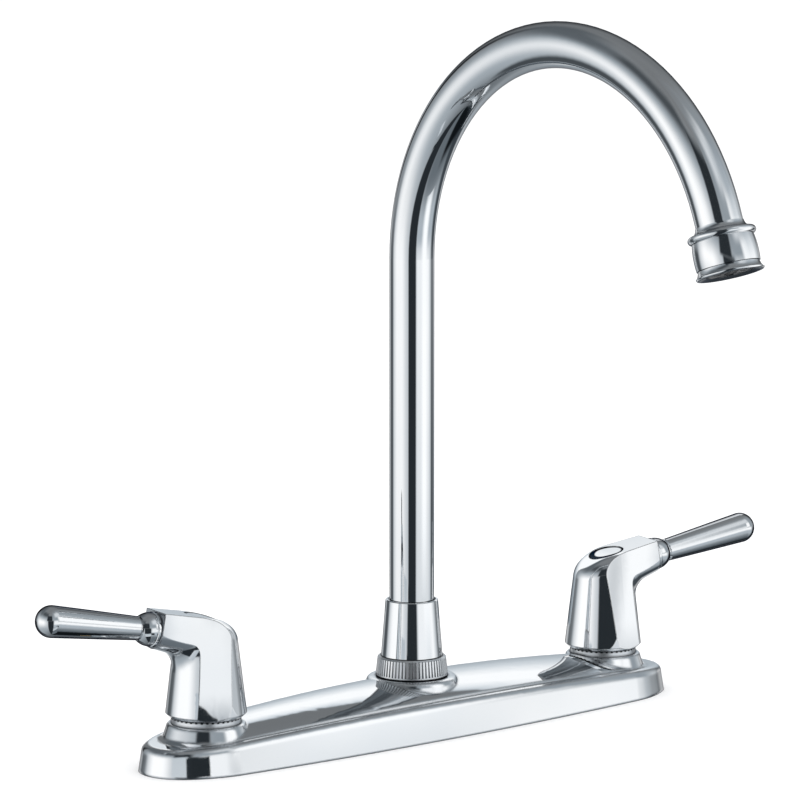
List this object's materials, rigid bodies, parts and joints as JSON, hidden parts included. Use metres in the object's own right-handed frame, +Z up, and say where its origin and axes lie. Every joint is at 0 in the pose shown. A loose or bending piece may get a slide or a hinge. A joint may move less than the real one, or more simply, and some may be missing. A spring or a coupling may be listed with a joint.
{
  "type": "two handle kitchen faucet",
  "caption": "Deck mounted kitchen faucet on a bowed cover plate: swivelling gooseneck spout between lever handles that turn ceramic disc valves.",
  "frame": {"origin": "on the spout's swivel axis, in the plane of the deck that the gasket stands on", "axes": "+X runs along the plate to the right as the user sees it, +Y away from the user, +Z up; the spout points to -Y at rest"},
  "size_m": [0.3437, 0.2119, 0.3315],
  "materials": {
    "chrome": "polished chrome plate",
    "bare_brass": "turned brass, as machined",
    "copper_tube": "drawn copper tube",
    "zinc_steel": "zinc plated steel",
    "white_ceramic": "lapped ceramic",
    "white_plastic": "moulded acetal",
    "black_rubber": "moulded rubber, matt",
    "dark_screen": "dark moulded grid"
  },
  "bodies": {
    "base": {"deck_plate": "chrome", "deck_gasket": "black_rubber", "mounting_washers": "zinc_steel", "mounting_nuts": "bare_brass", "left_valve_body": "bare_brass", "left_waterway_tube": "copper_tube", "left_seat_seal": "black_rubber", "left_cartridge": "bare_brass", "left_fixed_disc": "white_ceramic", "left_bonnet_nut": "chrome", "right_valve_body": "bare_brass", "right_waterway_tube": "copper_tube", "right_seat_seal": "black_rubber", "right_cartridge": "bare_brass", "right_fixed_disc": "white_ceramic", "right_bonnet_nut": "chrome", "spout_post": "bare_brass", "spout_nut": "chrome", "spout_thrust_washer": "white_plastic"},
    "spout": {"spout_tail": "bare_brass", "spout_o_rings": "black_rubber", "spout_sleeve": "chrome", "spout_tube": "chrome", "outlet_collar": "chrome", "aerator_washer": "black_rubber", "aerator_shell": "chrome", "aerator_insert": "white_plastic", "aerator_screen": "dark_screen"},
    "left_handle": {"left_handle_body": "chrome", "left_handle_screw": "zinc_steel", "left_index_cap": "chrome", "left_lever_collar": "chrome", "left_lever_grip": "chrome", "left_stem": "bare_brass", "left_stem_o_ring": "black_rubber", "left_moving_disc": "white_ceramic"},
    "right_handle": {"right_handle_body": "chrome", "right_handle_screw": "zinc_steel", "right_index_cap": "chrome", "right_lever_collar": "chrome", "right_lever_grip": "chrome", "right_stem": "bare_brass", "right_stem_o_ring": "black_rubber", "right_moving_disc": "white_ceramic"}
  },
  "joints": [
    {"name": "spout_swivel", "type": "hinge", "parent": "base", "child": "spout", "pos_m": [0, 0, 0.024], "axis": [0, 0, 1], "continuous": true},
    {"name": "left_handle_turn", "type": "hinge", "parent": "base", "child": "left_handle", "pos_m": [-0.1016, 0, 0.03], "axis": [0, 0, 1], "range_deg": [0, 90]},
    {"name": "right_handle_turn", "type": "hinge", "parent": "base", "child": "right_handle", "pos_m": [0.1016, 0, 0.03], "axis": [0, 0, 1], "range_deg": [-90, 0]}
  ]
}
